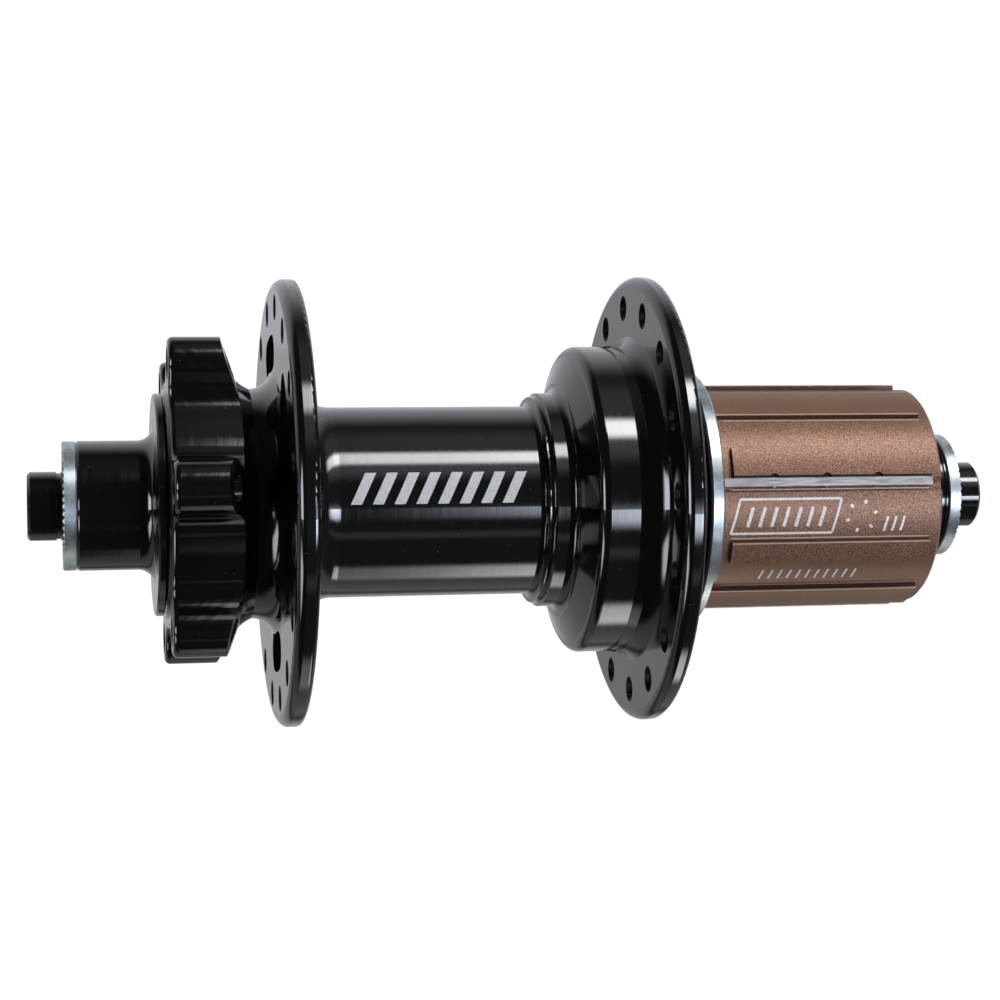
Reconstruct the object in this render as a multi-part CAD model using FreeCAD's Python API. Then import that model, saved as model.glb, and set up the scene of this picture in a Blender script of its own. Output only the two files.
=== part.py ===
import FreeCAD, Part
import math
import os

# Rear disc-brake hub for a bicycle wheel, with a quick-release axle and a cassette freehub.
# Frame: millimetres. The wheel axis is Y, towards the drive side; Z is up.
# The origin is on the axis, midway between the two faces that clamp in the frame's dropouts.
# Angles about the axis are in degrees, from +X towards +Z.

V = FreeCAD.Vector
ORIGIN = V(0, 0, 0)
TURN = V(0, -1, 0)

# ---- driving dimensions ----
# Axle and end caps
DROPOUT_WIDTH = 135.0
DROPOUT_Y = DROPOUT_WIDTH / 2
STUB_LENGTH = 5.0
STUB_R = 5.0
SKEWER_R = 2.75
AXLE_R = 7.49
AXLE_BORE_R = 5.0
AXLE_END_Y = 60.3
AXLE_SHOULDER_R = 8.8
O_RING_Y = 57.3
O_RING_GROOVE_R = 6.4
O_RING_WIRE_R = 0.54
CAP_BORE_R = 7.51
CAP_FLOOR_Y = 60.4
WASHER_R = 9.4
WASHER_BORE_R = 5.05
WASHER_THICKNESS = 2.0
SERRATIONS = 56
SERRATION_DEPTH = 0.3
COLLAR_R = 9.45
COLLAR_COVE_Y = -56.7
SHIELD_R = 16.3
SHIELD_FACE_Y = -54.4
SHIELD_BACK_Y = -53.15
RIGHT_CAP_R = 9.2
RIGHT_CAP_GROOVES_Y = (64.9, 64.1, 63.3)
RIGHT_CAP_NECK_R = 8.9
DUST_SHIELD_R = 13.5
DUST_SHIELD_Y = (54.0, 55.2)

# Bearings: bore radius, outer radius, width, pitch radius, ball radius, number of balls
LARGE_BEARING = {"bore": 7.5, "outer": 14.0, "width": 7.0, "pitch": 10.75, "ball": 1.985, "count": 11}
SMALL_BEARING = {"bore": 7.5, "outer": 12.0, "width": 5.0, "pitch": 9.75, "ball": 1.39, "count": 14}
RACE_CLEARANCE = 0.06
LEFT_BEARING_Y = -47.0
DRIVE_BEARING_Y = 6.5
INNER_FREEHUB_BEARING_Y = 17.0
OUTER_FREEHUB_BEARING_Y = 49.0

# Rotor mount: six lobes on the left end of the shell
ROTOR_FACE_Y = -52.65
ROTOR_PCD_R = 22.0
ROTOR_HOLE_R = 2.1
LOBE_COUNT = 6
LOBE_PHASE = 10.0
LOBE_TIP_R = 3.85
LOBE_FILLET_R = 4.0
VALLEY_R = 18.3
LOBE_EDGE_R = 0.8
PILOT_R = 16.9
PILOT_FACE_Y = -52.95
NECK_R = 17.0
NECK_Y = -40.6

# Spoke flanges
SPOKE_HOLES = 16
SPOKE_PCD_R = 29.0
SPOKE_HOLE_R = 1.3
SPOKE_CHAMFER = 0.65
LEFT_FLANGE_R = 33.0
LEFT_FLANGE_FACE_Y = -36.85
LEFT_FLANGE_BACK_Y = -33.6
LEFT_SPOKE_PHASE = 15.75
RIGHT_FLANGE_R = 33.6
RIGHT_FLANGE_FACE_Y = 16.95
RIGHT_FLANGE_BACK_Y = 20.0
RIGHT_SPOKE_PHASE = 4.5
SLOT_R = 22.1
SLOT_WIDTH = 5.6
SLOT_HALF_ANGLE = 16.0
SLOT_PHASE = LOBE_PHASE + 30.0

# Barrel and drum
BARREL_R = 14.13
BARREL_BORE_R = 11.5
DRUM_R = 23.1
RATCHET_R = 20.5
RATCHET_CAVITY_Y = 11.4
MOUTH_R = 19.3
BOSS_R = 21.5
BOSS_END_Y = 22.4

# Ratchet and pawls
TEETH = 48
TOOTH_PITCH = 360.0 / TEETH
TOOTH_TIP_R = 17.4
TOOTH_ROOT_R = 18.9
TOOTH_FACE_ANGLE = 22.0
RATCHET_Y = (11.6, 18.6)
PAWLS = 6
PAWL_PIVOT_R = 14.6
PAWL_HEEL_R = 1.35
PAWL_TIP_R = 18.1
PAWL_TIP_INNER_R = 16.5
PAWL_REACH = 19.0
PAWL_COASTING_ANGLE = 10.5
PAWL_PHASE = 0.0
PAWL_Y = (13.0, 18.2)
POCKET_FLOOR_R = 13.1
POCKET_END_ANGLE = 25.0

# Freehub body
CARRIAGE_R = 16.5
CARRIAGE_Y = 11.9
FREEHUB_ROOT_R = 16.4
FREEHUB_SHOULDER_Y = 26.9
FREEHUB_END_Y = 61.55
LOCKRING_BORE_R = 14.7
RIB_R = 17.2
RIB_Y = (28.95, 59.6)
RIB_COUNT = 9
RIB_PHASE = 9.0
RIB_ANGLE = 20.0
NARROW_RIB = 8
LONG_RIBS = (1, 7)
NARROW_RIB_ANGLE = 11.5
DUST_RING_R = 19.2
DUST_RING_Y = (24.9, 26.9)
CIRCLIP_Y = (52.6, 53.7)

# Steel strips that guard three of the ribs
STRIP_RIBS = (0, 3, 6)
STRIP_ANGLE = 4.15
STRIP_POCKET_ANGLES = (-2.5, 4.2)
STRIP_FLOOR_R = 15.6
STRIP_Y = (27.0, 59.7)
STRIP_PIN_Y = (35.1, 43.2, 51.2)
STRIP_PIN_R = 0.45
STRIP_NOTCH_R = 0.7

QUARTER = math.tan(math.radians(90.0 / 4))


# ---- helpers ----
def polar(radius, angle, y=0.0):
    """Point at a radius and an angle about the wheel axis."""
    turn = math.radians(angle)
    return V(radius * math.cos(turn), y, radius * math.sin(turn))


def outline_wire(points):
    """Closed wire in the X-Y plane through (radius, y) points.

    A third value is the bulge of the arc that arrives at its point: the tangent of a quarter of
    the arc's angle, positive when the arc turns to the left.
    """
    edges = []
    for here, there in zip(points, points[1:] + points[:1]):
        start = V(here[0], here[1], 0)
        end = V(there[0], there[1], 0)
        chord = end.sub(start)
        if len(there) == 3:
            middle = start.add(end).multiply(0.5)
            middle = middle.add(V(chord.y, -chord.x, 0).multiply(there[2] / 2))
            edges.append(Part.Arc(start, middle, end).toShape())
        else:
            edges.append(Part.LineSegment(start, end).toShape())
    return Part.Wire(edges)


def turned(points, angle=360.0, phase=0.0):
    """Solid swept about the wheel axis from a closed outline of (radius, y) points."""
    solid = Part.Face(outline_wire(points)).revolve(ORIGIN, TURN, angle)
    solid.rotate(ORIGIN, TURN, phase)
    return solid


def ring(inner_r, outer_r, low_y, high_y, chamfer=0.0):
    """Plain ring about the wheel axis, with its outer edges chamfered."""
    if chamfer == 0:
        return turned([(inner_r, low_y), (outer_r, low_y), (outer_r, high_y), (inner_r, high_y)])
    return turned([
        (inner_r, low_y),
        (outer_r - chamfer, low_y),
        (outer_r, low_y + chamfer),
        (outer_r, high_y - chamfer),
        (outer_r - chamfer, high_y),
        (inner_r, high_y),
    ])


def sector(inner_r, outer_r, low_y, high_y, from_angle, to_angle):
    """Part of a ring between two angles."""
    corners = [(inner_r, low_y), (outer_r, low_y), (outer_r, high_y), (inner_r, high_y)]
    return turned(corners, to_angle - from_angle, from_angle)


def around(shape, count, phase=0.0):
    """Copies of a shape, evenly spaced about the wheel axis."""
    copies = []
    for index in range(count):
        copy = shape.copy()
        copy.rotate(ORIGIN, TURN, phase + index * 360.0 / count)
        copies.append(copy)
    return copies


def slab(wire, low_y, high_y):
    """Prism along the wheel axis from a closed wire that lies at y = 0."""
    solid = Part.Face(wire).extrude(V(0, high_y - low_y, 0))
    solid.translate(V(0, low_y, 0))
    return solid


def arc_through(start, middle, end):
    return Part.Arc(start, middle, end).toShape()


def export(name, shape):
    shape.exportStep("parts/" + name + ".step")


# ---- rotor mount, flanges and shell ----
def lobed_wire():
    """Outline of the rotor mount: lobes with round tips and straight flanks, and a round valley."""
    fillet_centre_v = LOBE_TIP_R + LOBE_FILLET_R
    fillet_centre_u = math.sqrt((VALLEY_R + LOBE_FILLET_R) ** 2 - fillet_centre_v ** 2)
    fillet_angle = math.degrees(math.atan2(fillet_centre_v, fillet_centre_u))
    pitch = 360.0 / LOBE_COUNT

    def local(u, v, axis_angle):
        radius = math.hypot(u, v)
        return polar(radius, axis_angle + math.degrees(math.atan2(v, u)))

    def fillet_middle(side, axis_angle):
        """Middle of the fillet between a lobe's flank and the valley floor."""
        heading = math.radians((180.0 + fillet_angle + 270.0) / 2)
        u = fillet_centre_u + LOBE_FILLET_R * math.cos(heading)
        v = fillet_centre_v + LOBE_FILLET_R * math.sin(heading)
        return local(u, side * v, axis_angle)

    edges = []
    for index in range(LOBE_COUNT):
        axis_angle = LOBE_PHASE + index * pitch
        low_floor = polar(VALLEY_R, axis_angle - fillet_angle)
        low_foot = local(fillet_centre_u, -LOBE_TIP_R, axis_angle)
        low_side = local(ROTOR_PCD_R, -LOBE_TIP_R, axis_angle)
        tip = local(ROTOR_PCD_R + LOBE_TIP_R, 0, axis_angle)
        high_side = local(ROTOR_PCD_R, LOBE_TIP_R, axis_angle)
        high_foot = local(fillet_centre_u, LOBE_TIP_R, axis_angle)
        high_floor = polar(VALLEY_R, axis_angle + fillet_angle)
        next_floor = polar(VALLEY_R, axis_angle + pitch - fillet_angle)
        edges.append(arc_through(low_floor, fillet_middle(-1, axis_angle), low_foot))
        edges.append(Part.makeLine(low_foot, low_side))
        edges.append(arc_through(low_side, tip, high_side))
        edges.append(Part.makeLine(high_side, high_foot))
        edges.append(arc_through(high_foot, fillet_middle(1, axis_angle), high_floor))
        edges.append(arc_through(high_floor, polar(VALLEY_R, axis_angle + pitch / 2), next_floor))
    return Part.Wire(edges)


def rotor_mount():
    """Six lobes with a flat front face, a rounded front edge and a back that runs into the neck."""
    tip_r = ROTOR_PCD_R + LOBE_TIP_R
    envelope = turned([
        (BARREL_BORE_R, ROTOR_FACE_Y),
        (tip_r + 0.1, ROTOR_FACE_Y),
        (tip_r + 0.1, -45.25),
        (VALLEY_R + 0.1, -42.55),
        (NECK_R, NECK_Y, -0.1),
        (BARREL_BORE_R, NECK_Y),
    ])
    lobes = slab(lobed_wire(), ROTOR_FACE_Y, NECK_Y)
    front = [edge for edge in lobes.Edges if edge.BoundBox.YMax < ROTOR_FACE_Y + 0.01]
    return lobes.makeFillet(LOBE_EDGE_R, front).common(envelope)


def slot_cutter():
    """Kidney slot through the left flange, in the valley between two lobes."""
    half = SLOT_WIDTH / 2
    end_angle = SLOT_HALF_ANGLE - math.degrees(math.asin(half / SLOT_R))
    inner = SLOT_R - half
    outer = SLOT_R + half
    rounding = math.degrees(half / SLOT_R)
    wire = Part.Wire([
        arc_through(polar(outer, -end_angle), polar(outer, 0), polar(outer, end_angle)),
        arc_through(polar(outer, end_angle), polar(SLOT_R, end_angle + rounding), polar(inner, end_angle)),
        arc_through(polar(inner, end_angle), polar(inner, 0), polar(inner, -end_angle)),
        arc_through(polar(inner, -end_angle), polar(SLOT_R, -end_angle - rounding), polar(outer, -end_angle)),
    ])
    return slab(wire, LEFT_FLANGE_FACE_Y - 3.5, LEFT_FLANGE_BACK_Y + 4)


def spoke_hole_cutter(low_y, high_y):
    """Spoke hole parallel to the axis, countersunk on both faces of the flange."""
    mouth = SPOKE_HOLE_R + SPOKE_CHAMFER
    outline = [
        (0, low_y - 1),
        (mouth, low_y - 1),
        (mouth, low_y),
        (SPOKE_HOLE_R, low_y + SPOKE_CHAMFER),
        (SPOKE_HOLE_R, high_y - SPOKE_CHAMFER),
        (mouth, high_y),
        (mouth, high_y + 1),
        (0, high_y + 1),
    ]
    cutter = turned(outline)
    cutter.translate(V(SPOKE_PCD_R, 0, 0))
    return cutter


def rotor_hole_cutter():
    """Tapping hole through a lobe, countersunk at the front face."""
    mouth = ROTOR_HOLE_R + 0.4
    cutter = turned([
        (0, ROTOR_FACE_Y - 1),
        (mouth, ROTOR_FACE_Y - 1),
        (mouth, ROTOR_FACE_Y),
        (ROTOR_HOLE_R, ROTOR_FACE_Y + 0.4),
        (ROTOR_HOLE_R, NECK_Y),
        (0, NECK_Y),
    ])
    cutter.translate(V(ROTOR_PCD_R, 0, 0))
    return cutter


def shell_spool():
    """Flanges, barrel, drum and all the bores, as one turned piece."""
    left_seat = LEFT_BEARING_Y + LARGE_BEARING["width"] / 2
    drive_seat = DRIVE_BEARING_Y - LARGE_BEARING["width"] / 2
    seat_r = LARGE_BEARING["outer"]
    outside = [
        (PILOT_R - 0.3, PILOT_FACE_Y),
        (PILOT_R, PILOT_FACE_Y + 0.3),
        (PILOT_R, NECK_Y),
        (20.5, LEFT_FLANGE_FACE_Y, -QUARTER),
        (31.6, LEFT_FLANGE_FACE_Y),
        (LEFT_FLANGE_R, -35.6, 0.3),
        (LEFT_FLANGE_R, -34.4),
        (32.2, LEFT_FLANGE_BACK_Y, QUARTER),
        (19.13, LEFT_FLANGE_BACK_Y),
        (BARREL_R, -28.6, -QUARTER),
        (BARREL_R, 0.6),
        (15.2, 1.7, -QUARTER),
        (15.5, 1.7),
        (16.1, 2.7, -QUARTER),
        (16.15, 4.5),
        (17.6, 5.8, -QUARTER),
        (21.7, 7.4),
        (DRUM_R, 8.9, QUARTER),
        (DRUM_R, 13.2),
        (23.3, 14.7),
        (24.6, RIGHT_FLANGE_FACE_Y, -0.15),
        (32.3, RIGHT_FLANGE_FACE_Y),
        (RIGHT_FLANGE_R, 18.1, 0.3),
        (RIGHT_FLANGE_R, 19.1),
        (32.7, RIGHT_FLANGE_BACK_Y, QUARTER),
        (22.5, RIGHT_FLANGE_BACK_Y),
        (BOSS_R, 21.0, -QUARTER),
        (BOSS_R, BOSS_END_Y - 0.4),
        (BOSS_R - 0.4, BOSS_END_Y),
    ]
    inside = [
        (MOUTH_R, BOSS_END_Y),
        (MOUTH_R, 20.2),
        (RATCHET_R, 19.4),
        (RATCHET_R, RATCHET_CAVITY_Y),
        (seat_r + 0.4, RATCHET_CAVITY_Y),
        (seat_r, RATCHET_CAVITY_Y - 0.4),
        (seat_r, drive_seat),
        (BARREL_BORE_R, drive_seat),
        (BARREL_BORE_R, left_seat),
        (seat_r, left_seat),
        (seat_r, -50.9),
        (14.9, -50.9),
        (14.9, PILOT_FACE_Y),
    ]
    return turned(outside + inside)


def hub_shell():
    mount = rotor_mount().cut(turned([
        (0, ROTOR_FACE_Y - 1),
        (PILOT_R - 1, ROTOR_FACE_Y - 1),
        (PILOT_R - 1, NECK_Y + 1),
        (0, NECK_Y + 1),
    ]))
    shell = shell_spool().fuse(mount).removeSplitter()
    cutters = around(rotor_hole_cutter(), LOBE_COUNT, LOBE_PHASE)
    cutters += around(slot_cutter(), LOBE_COUNT, SLOT_PHASE)
    left_hole = spoke_hole_cutter(LEFT_FLANGE_FACE_Y, LEFT_FLANGE_BACK_Y)
    right_hole = spoke_hole_cutter(RIGHT_FLANGE_FACE_Y, RIGHT_FLANGE_BACK_Y)
    cutters += around(left_hole, SPOKE_HOLES, LEFT_SPOKE_PHASE)
    cutters += around(right_hole, SPOKE_HOLES, RIGHT_SPOKE_PHASE)
    return shell.cut(Part.Compound(cutters))


# ---- axle, end caps and their trim ----
def axle_tube():
    shoulder_left = LEFT_BEARING_Y + LARGE_BEARING["width"] / 2
    shoulder_right = DRIVE_BEARING_Y - LARGE_BEARING["width"] / 2
    groove = 0.8
    return turned([
        (AXLE_BORE_R, -AXLE_END_Y),
        (AXLE_R - 0.4, -AXLE_END_Y),
        (AXLE_R, -AXLE_END_Y + 0.4),
        (AXLE_R, -O_RING_Y - groove),
        (O_RING_GROOVE_R, -O_RING_Y - groove),
        (O_RING_GROOVE_R, -O_RING_Y + groove),
        (AXLE_R, -O_RING_Y + groove),
        (AXLE_R, shoulder_left),
        (AXLE_SHOULDER_R, shoulder_left),
        (AXLE_SHOULDER_R, shoulder_right),
        (AXLE_R, shoulder_right),
        (AXLE_R, O_RING_Y - groove),
        (O_RING_GROOVE_R, O_RING_Y - groove),
        (O_RING_GROOVE_R, O_RING_Y + groove),
        (AXLE_R, O_RING_Y + groove),
        (AXLE_R, AXLE_END_Y - 0.4),
        (AXLE_R - 0.4, AXLE_END_Y),
        (AXLE_BORE_R, AXLE_END_Y),
    ])


def stub_outline(side):
    """Quick-release stub and washer seat, from the bore's mouth to the washer's back face."""
    end_y = DROPOUT_Y + STUB_LENGTH
    return [
        (SKEWER_R, side * (end_y - 0.3)),
        (SKEWER_R + 0.3, side * end_y),
        (STUB_R - 0.4, side * end_y),
        (STUB_R, side * (end_y - 0.4)),
        (STUB_R, side * (DROPOUT_Y + 0.9)),
        (STUB_R - 0.2, side * (DROPOUT_Y + 0.8)),
        (STUB_R - 0.2, side * (DROPOUT_Y + 0.3)),
        (STUB_R, side * (DROPOUT_Y + 0.1)),
        (STUB_R, side * (DROPOUT_Y - WASHER_THICKNESS)),
    ]


def left_end_cap():
    bearing_face = LEFT_BEARING_Y - LARGE_BEARING["width"] / 2
    seat_y = -(DROPOUT_Y - WASHER_THICKNESS)
    return turned(stub_outline(-1) + [
        (COLLAR_R - 0.25, seat_y),
        (COLLAR_R, seat_y + 0.3),
        (COLLAR_R, COLLAR_COVE_Y),
        (COLLAR_R + 2.3, SHIELD_FACE_Y, -QUARTER),
        (SHIELD_R - 0.25, SHIELD_FACE_Y),
        (SHIELD_R, SHIELD_FACE_Y + 0.25),
        (SHIELD_R, SHIELD_BACK_Y - 0.2),
        (SHIELD_R - 0.2, SHIELD_BACK_Y),
        (9.3, SHIELD_BACK_Y),
        (9.3, bearing_face),
        (CAP_BORE_R, bearing_face),
        (CAP_BORE_R, -CAP_FLOOR_Y),
        (SKEWER_R, -CAP_FLOOR_Y),
    ])


def right_end_cap():
    """Cap with three round grooves, a neck for the dust shield, and the same stub as the left one."""
    bearing_face = OUTER_FREEHUB_BEARING_Y + LARGE_BEARING["width"] / 2
    seat_y = DROPOUT_Y - WASHER_THICKNESS
    half_groove = 0.2
    grooves = []
    for groove_y in RIGHT_CAP_GROOVES_Y:
        grooves.append((RIGHT_CAP_R, groove_y + half_groove))
        grooves.append((RIGHT_CAP_R, groove_y - half_groove, 1.0))
    return turned(stub_outline(1) + [
        (RIGHT_CAP_R - 0.2, seat_y),
        (RIGHT_CAP_R, seat_y - 0.2),
    ] + grooves + [
        (RIGHT_CAP_R, DUST_SHIELD_Y[1]),
        (RIGHT_CAP_NECK_R, DUST_SHIELD_Y[1]),
        (RIGHT_CAP_NECK_R, bearing_face),
        (CAP_BORE_R, bearing_face),
        (CAP_BORE_R, CAP_FLOOR_Y),
        (SKEWER_R, CAP_FLOOR_Y),
    ])


def freehub_dust_shield():
    """Flat washer on the right cap's neck that covers the outer freehub bearing."""
    return ring(RIGHT_CAP_NECK_R + 0.01, DUST_SHIELD_R, DUST_SHIELD_Y[0], DUST_SHIELD_Y[1], 0.2)


def serrated_washer(side):
    """Steel washer with radial V grooves on the face that bites the dropout."""
    face_y = side * DROPOUT_Y
    back_y = side * (DROPOUT_Y - WASHER_THICKNESS)
    low_y = min(face_y, back_y)
    blank = ring(WASHER_BORE_R, WASHER_R, low_y, low_y + WASHER_THICKNESS, 0.2)
    inner_r = 6.0
    outer_r = 10.0
    half_angle = 360.0 / SERRATIONS * 0.42

    def section(radius):
        half = radius * math.tan(math.radians(half_angle))
        depth = SERRATION_DEPTH * radius / WASHER_R
        proud = 0.05 * side
        corners = [
            V(radius, face_y + proud, -half),
            V(radius, face_y + proud, half),
            V(radius, face_y - side * depth, 0),
        ]
        return Part.makePolygon(corners + corners[:1])

    groove = Part.makeLoft([section(inner_r), section(outer_r)], True, True)
    return blank.cut(Part.Compound(around(groove, SERRATIONS)))


def o_ring(side):
    torus = Part.makeTorus(O_RING_GROOVE_R + O_RING_WIRE_R + 0.01, O_RING_WIRE_R, ORIGIN, V(0, 1, 0))
    torus.translate(V(0, side * O_RING_Y, 0))
    return torus


# ---- ball bearings ----
def race_land(bearing):
    """Radii of the plain lands beside the inner and the outer ball tracks."""
    reach = 0.7 * bearing["ball"]
    return bearing["pitch"] - reach, bearing["pitch"] + reach


def inner_race(bearing, centre_y):
    land, _ = race_land(bearing)
    half = bearing["width"] / 2
    track = bearing["ball"] + RACE_CLEARANCE
    blank = ring(bearing["bore"], land, centre_y - half, centre_y + half, 0.15)
    return blank.cut(Part.makeTorus(bearing["pitch"], track, V(0, centre_y, 0), V(0, 1, 0)))


def outer_race(bearing, centre_y):
    _, land = race_land(bearing)
    half = bearing["width"] / 2
    track = bearing["ball"] + RACE_CLEARANCE
    blank = ring(land, bearing["outer"], centre_y - half, centre_y + half, 0.2)
    return blank.cut(Part.makeTorus(bearing["pitch"], track, V(0, centre_y, 0), V(0, 1, 0)))


def bearing_seals(bearing, centre_y):
    """Two rubber shields, fixed in the outer race and clear of the inner race."""
    inner_land, outer_land = race_land(bearing)
    half = bearing["width"] / 2
    recess = 0.2
    thickness = 0.08 * bearing["width"]
    shields = []
    for side in (-1, 1):
        near = centre_y + side * (half - recess - thickness)
        far = centre_y + side * (half - recess)
        shields.append(ring(inner_land + 0.2, outer_land, min(near, far), max(near, far)))
    return Part.Compound(shields)


def ball_ring(bearing, centre_y):
    ball = Part.makeSphere(bearing["ball"], V(bearing["pitch"], centre_y, 0), V(0, 1, 0))
    return Part.Compound(around(ball, bearing["count"]))


def ball_cage(bearing, centre_y):
    """Crown cage: a ring with a round pocket for each ball, open on one side."""
    ball_r = bearing["ball"]
    half_section = 0.42 * ball_r
    low_y = centre_y - bearing["width"] / 2 + 0.2 + 0.08 * bearing["width"] + 0.15
    high_y = centre_y + 0.6 * ball_r
    crown = ring(bearing["pitch"] - half_section, bearing["pitch"] + half_section, low_y, high_y)
    pocket = Part.makeSphere(ball_r + 0.04, V(bearing["pitch"], centre_y, 0), V(0, 1, 0))
    return crown.cut(Part.Compound(around(pocket, bearing["count"])))


# ---- ratchet ----
def ratchet_ring():
    """Steel ring with inward saw teeth; each steep face looks towards falling angles."""
    corners = []
    for index in range(TEETH):
        face_angle = TOOTH_FACE_ANGLE + index * TOOTH_PITCH
        corners.append(polar(TOOTH_ROOT_R, face_angle))
        corners.append(polar(TOOTH_TIP_R, face_angle))
    teeth = Part.makePolygon(corners + corners[:1])
    blank = ring(TOOTH_TIP_R - 1, RATCHET_R - 0.01, RATCHET_Y[0], RATCHET_Y[1], 0.2)
    return blank.cut(slab(teeth, RATCHET_Y[0] - 1, RATCHET_Y[1] + 1))


def pawl(angle):
    """Pawl with a round heel, and a blade that ends in a radial face when it is engaged.

    It is stored as it stands while the wheel coasts: turned in about its heel, just clear of
    the tips of the ratchet's teeth.
    """
    pivot = polar(PAWL_PIVOT_R, 0)
    tip = polar(PAWL_TIP_R, PAWL_REACH)
    inner_tip = polar(PAWL_TIP_INNER_R, PAWL_REACH)
    along = tip.sub(pivot).normalize()
    outward = V(along.z, 0, -along.x).multiply(PAWL_HEEL_R)
    blade_corners = [pivot.add(outward), tip, inner_tip, pivot.sub(outward)]
    blade = slab(Part.makePolygon(blade_corners + blade_corners[:1]), PAWL_Y[0], PAWL_Y[1])
    heel = Part.makeCylinder(PAWL_HEEL_R, PAWL_Y[1] - PAWL_Y[0], V(pivot.x, PAWL_Y[0], pivot.z), V(0, 1, 0))
    solid = heel.fuse(blade).removeSplitter()
    solid.rotate(pivot, TURN, PAWL_COASTING_ANGLE)
    solid.rotate(ORIGIN, TURN, angle)
    return solid


def pawl_pocket():
    low_y = PAWL_Y[0] - 0.1
    high_y = PAWL_Y[1] + 0.1
    outer_r = CARRIAGE_R + 1
    socket = Part.makeCylinder(PAWL_HEEL_R + 0.03, high_y - low_y, V(PAWL_PIVOT_R, low_y, 0), V(0, 1, 0))
    sweep = sector(POCKET_FLOOR_R, outer_r, low_y, high_y, 0, POCKET_END_ANGLE)
    relief = sector(PAWL_PIVOT_R, outer_r, low_y, high_y, -4.5, 0.5)
    return socket.fuse([sweep, relief])


def pawl_springs():
    """Six leaf springs, one on the floor of each pawl pocket."""
    middle = (PAWL_Y[0] + PAWL_Y[1]) / 2
    leaf = sector(POCKET_FLOOR_R + 0.02, POCKET_FLOOR_R + 0.22, middle - 1, middle + 1, 8, 22)
    foot = sector(POCKET_FLOOR_R + 0.02, POCKET_FLOOR_R + 1.2, middle - 1, middle + 1, 22, 22.9)
    return Part.Compound(around(leaf.fuse(foot), PAWLS, PAWL_PHASE))


# ---- freehub ----
def rib_angles(index):
    """Start and end angle of one cassette rib; one rib is narrower, to index the cassette."""
    start = RIB_PHASE + index * 360.0 / RIB_COUNT
    width = NARROW_RIB_ANGLE if index == NARROW_RIB else RIB_ANGLE
    return start, start + width


def freehub_blank():
    inner_shoulder = INNER_FREEHUB_BEARING_Y + SMALL_BEARING["width"] / 2
    outer_shoulder = OUTER_FREEHUB_BEARING_Y - LARGE_BEARING["width"] / 2
    small_seat_r = SMALL_BEARING["outer"]
    large_seat_r = LARGE_BEARING["outer"]
    clip_groove_r = large_seat_r + 0.55
    return turned([
        (small_seat_r, CARRIAGE_Y),
        (CARRIAGE_R - 0.4, CARRIAGE_Y),
        (CARRIAGE_R, CARRIAGE_Y + 0.4),
        (CARRIAGE_R, FREEHUB_SHOULDER_Y),
        (FREEHUB_ROOT_R, FREEHUB_SHOULDER_Y),
        (FREEHUB_ROOT_R, FREEHUB_END_Y - 0.4),
        (FREEHUB_ROOT_R - 0.4, FREEHUB_END_Y),
        (LOCKRING_BORE_R + 0.5, FREEHUB_END_Y),
        (LOCKRING_BORE_R, FREEHUB_END_Y - 0.5),
        (LOCKRING_BORE_R, 54.6),
        (large_seat_r, 54.2),
        (large_seat_r, CIRCLIP_Y[1]),
        (clip_groove_r, CIRCLIP_Y[1]),
        (clip_groove_r, CIRCLIP_Y[0]),
        (large_seat_r, CIRCLIP_Y[0]),
        (large_seat_r, outer_shoulder),
        (12.0, outer_shoulder),
        (12.0, outer_shoulder - 1.7),
        (12.8, outer_shoulder - 2.5),
        (12.8, inner_shoulder + 3.2),
        (10.8, inner_shoulder + 2.0),
        (10.8, inner_shoulder),
        (small_seat_r, inner_shoulder),
    ])


def strip_pocket(rib):
    """Groove beside a rib that takes a steel strip, with three half-round notches in the rib."""
    start = RIB_PHASE + rib * 360.0 / RIB_COUNT
    low = start + STRIP_POCKET_ANGLES[0]
    high = start + STRIP_POCKET_ANGLES[1]
    cutters = [sector(STRIP_FLOOR_R, RIB_R + 1, FREEHUB_SHOULDER_Y, FREEHUB_END_Y + 1, low, high)]
    for pin_y in STRIP_PIN_Y:
        radial = polar(1, high)
        notch = Part.makeCylinder(STRIP_NOTCH_R, 2, polar(RIB_R - 0.35, high, pin_y), radial)
        cutters.append(notch)
    return cutters


def pin_frame(rib, y):
    """Centre and direction of a strip pin: it lies along the tangent, at the strip's own middle."""
    start = RIB_PHASE + rib * 360.0 / RIB_COUNT
    centre_r = (STRIP_FLOOR_R + RIB_R - 0.35) / 2
    centre = polar(centre_r, start, y)
    tangent = polar(1, start + 90.0)
    return centre.sub(V(tangent).multiply(0.15)), tangent


def strip_pin_solids(clearance=0.0):
    pins = []
    for rib in STRIP_RIBS:
        for pin_y in STRIP_PIN_Y:
            centre, tangent = pin_frame(rib, pin_y)
            pins.append(Part.makeCylinder(STRIP_PIN_R + clearance, 3.2 + clearance, centre, tangent))
    return pins


def freehub_body():
    body = freehub_blank()
    ribs = []
    for index in range(RIB_COUNT):
        start, end = rib_angles(index)
        low_y = FREEHUB_SHOULDER_Y if index in LONG_RIBS else RIB_Y[0]
        ribs.append(sector(FREEHUB_ROOT_R - 0.6, RIB_R, low_y, RIB_Y[1], start, end))
    body = body.fuse(ribs).removeSplitter()
    cutters = around(pawl_pocket(), PAWLS, PAWL_PHASE)
    for rib in STRIP_RIBS:
        cutters += strip_pocket(rib)
    body = body.cut(Part.Compound(cutters))
    return body.cut(Part.Compound(strip_pin_solids(0.01)))


def guard_strips():
    strips = []
    for rib in STRIP_RIBS:
        start = RIB_PHASE + rib * 360.0 / RIB_COUNT
        end = start + STRIP_ANGLE
        strips.append(sector(STRIP_FLOOR_R + 0.01, RIB_R - 0.03, STRIP_Y[0], STRIP_Y[1], start, end))
    return Part.Compound(strips).cut(Part.Compound(strip_pin_solids(0.01)))


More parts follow.
